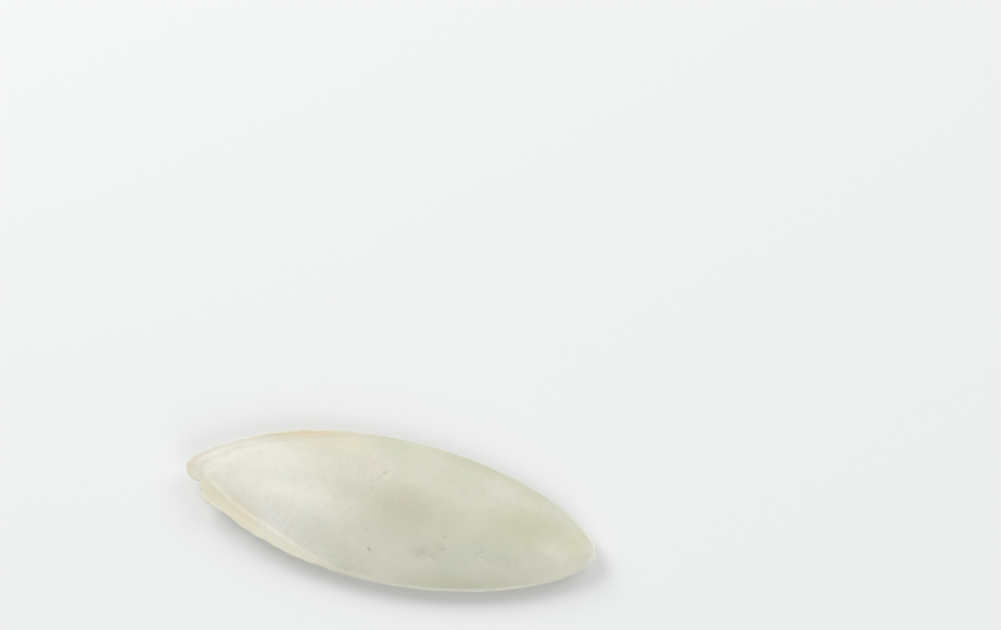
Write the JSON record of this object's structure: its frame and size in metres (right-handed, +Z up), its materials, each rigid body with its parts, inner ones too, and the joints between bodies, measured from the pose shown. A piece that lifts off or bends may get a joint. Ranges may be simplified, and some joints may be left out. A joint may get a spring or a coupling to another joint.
{
  "type": "cuttlebone",
  "caption": "Whole cuttlebone: a pointed oval, boat-shaped shell with a hard domed back, a bulging chalky belly and a thin margin round its tail end.",
  "frame": {"origin": "under the middle of the bone, at the level of the flat spot on the back that it rests on", "axes": "+X towards the head end, +Y towards the far side in the picture, +Z up, the way the chalky belly faces"},
  "size_m": [0.226, 0.0806, 0.0261],
  "materials": {
    "chalky_shell": "matte"
  },
  "bodies": {
    "root": {"cuttlebone": "chalky_shell"}
  },
  "joints": []
}
